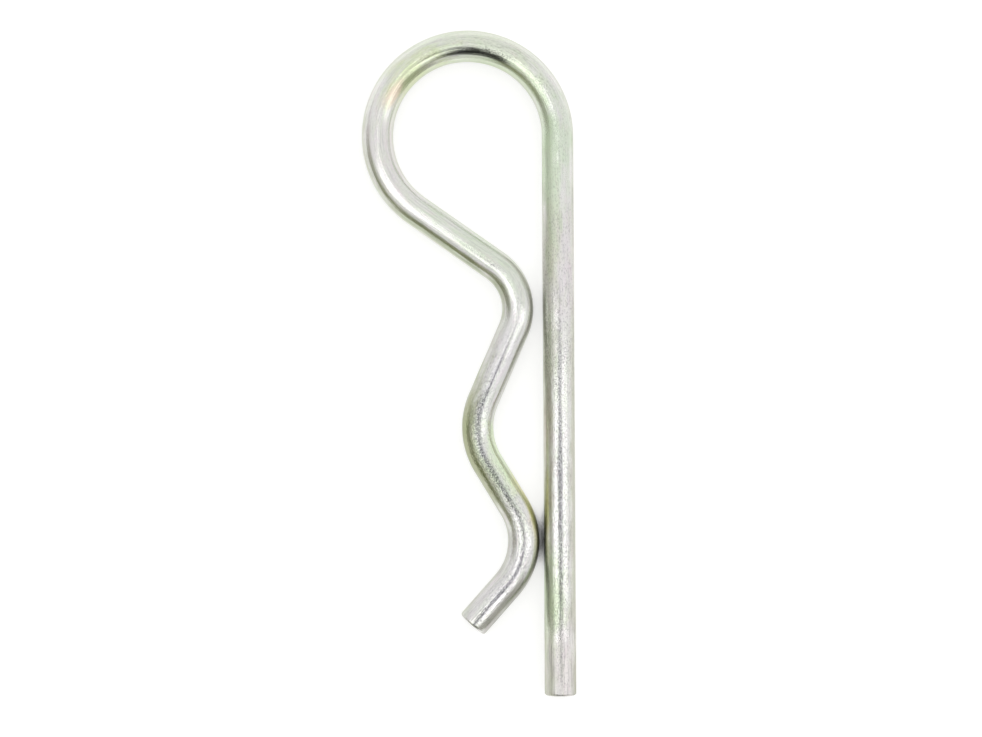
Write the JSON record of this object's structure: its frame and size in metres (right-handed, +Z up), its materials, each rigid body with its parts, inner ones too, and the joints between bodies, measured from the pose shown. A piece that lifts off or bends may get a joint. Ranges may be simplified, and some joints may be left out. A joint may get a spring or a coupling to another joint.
{
  "type": "hitch r clip pin",
  "caption": "Spring clip bent from round zinc plated wire: a straight leg, a round finger loop and a waved arm that grips the outside of a cross-drilled shaft.",
  "frame": {"origin": "on the floor, under the centre of the bounding box; the clip lies flat with its lowest line at z = 0", "axes": "+Y along the straight leg from its tip towards the loop, +X across the clip from the waved arm to the leg, +Z up, square to the plane that the wire is bent in"},
  "size_m": [0.0268, 0.0842, 0.004],
  "materials": {
    "zinc_plated_wire": "bright zinc plate on drawn spring wire, with a faint yellow-green tint"
  },
  "bodies": {
    "root": {"clip_wire": "zinc_plated_wire"}
  },
  "joints": []
}
